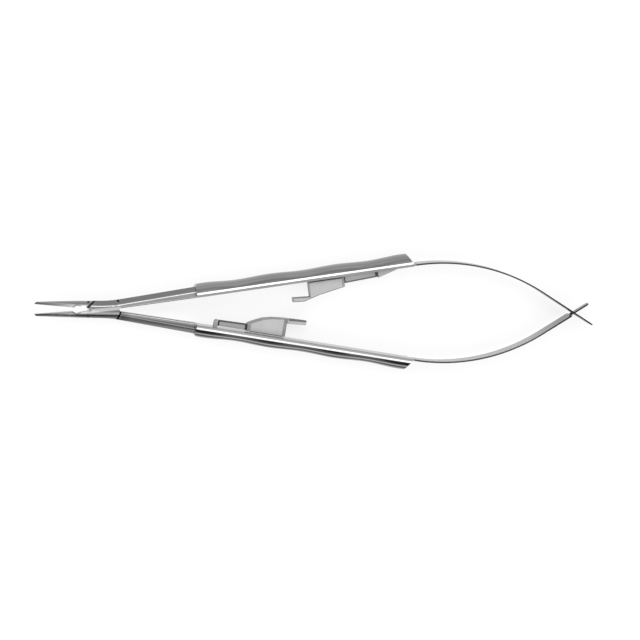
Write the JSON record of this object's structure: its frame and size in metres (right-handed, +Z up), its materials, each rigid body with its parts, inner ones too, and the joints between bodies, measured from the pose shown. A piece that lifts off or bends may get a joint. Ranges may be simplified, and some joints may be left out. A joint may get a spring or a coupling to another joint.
{
  "type": "surgical needle holder",
  "caption": "Spring-handled micro needle holder of satin stainless steel, with straight jaws, a lap joint, swelled half-round handles, slotted crossing leaf springs and a hook lock.",
  "frame": {"origin": "middle of the footprint on the table, which both handles lie on with their sides", "axes": "+X from the jaws to the crossing of the springs, +Y the way the upper handle opens, +Z up"},
  "size_m": [0.145, 0.03, 0.008],
  "materials": {
    "satin_steel": "satin",
    "spring_steel": "satin, drawn lengthwise",
    "matt_steel": "bead-blasted"
  },
  "bodies": {
    "near_half": {"near_arm": "satin_steel", "pivot_screw": "satin_steel", "upper_handle": "satin_steel", "upper_catch_foot": "matt_steel"},
    "far_half": {"far_arm": "satin_steel", "lower_handle": "satin_steel", "lower_catch_foot": "matt_steel"},
    "upper_spring": {"upper_leaf_spring": "spring_steel"},
    "lower_spring": {"lower_leaf_spring": "spring_steel"},
    "upper_catch": {"upper_catch_leaf": "matt_steel", "upper_catch_hook": "matt_steel"},
    "lower_catch": {"lower_catch_leaf": "matt_steel", "lower_catch_hook": "matt_steel"}
  },
  "joints": [
    {"name": "jaw_pivot", "type": "hinge", "parent": "near_half", "child": "far_half", "pos_m": [-0.05486, 0, 0.004], "axis": [0, 0, 1], "range_deg": [0, 8.28], "stiffness_Nm_per_rad": 1.4},
    {"name": "upper_spring_flex", "type": "hinge", "parent": "near_half", "child": "upper_spring", "pos_m": [0.02566, 0.0123, 0.004], "axis": [0, 0, 1], "range_deg": [0, 12.1]},
    {"name": "lower_spring_flex", "type": "hinge", "parent": "far_half", "child": "lower_spring", "pos_m": [0.02566, -0.0123, 0.004], "axis": [0, 0, 1], "range_deg": [-12.1, 0]},
    {"name": "upper_catch_flex", "type": "hinge", "parent": "near_half", "child": "upper_catch", "pos_m": [0.01576, 0.00956, 0.004], "axis": [0.1495, -0.9888, 0], "range_deg": [0, 3.3], "stiffness_Nm_per_rad": 0.5},
    {"name": "lower_catch_flex", "type": "hinge", "parent": "far_half", "child": "lower_catch", "pos_m": [-0.02536, -0.00324, 0.004], "axis": [-0.1495, -0.9888, 0], "range_deg": [0, 3.3], "stiffness_Nm_per_rad": 0.5}
  ],
  "couplings": [
    {"joint": "upper_spring_flex", "follows": "jaw_pivot", "ratio": 1.4482},
    {"joint": "lower_spring_flex", "follows": "jaw_pivot", "ratio": -1.4482}
  ]
}
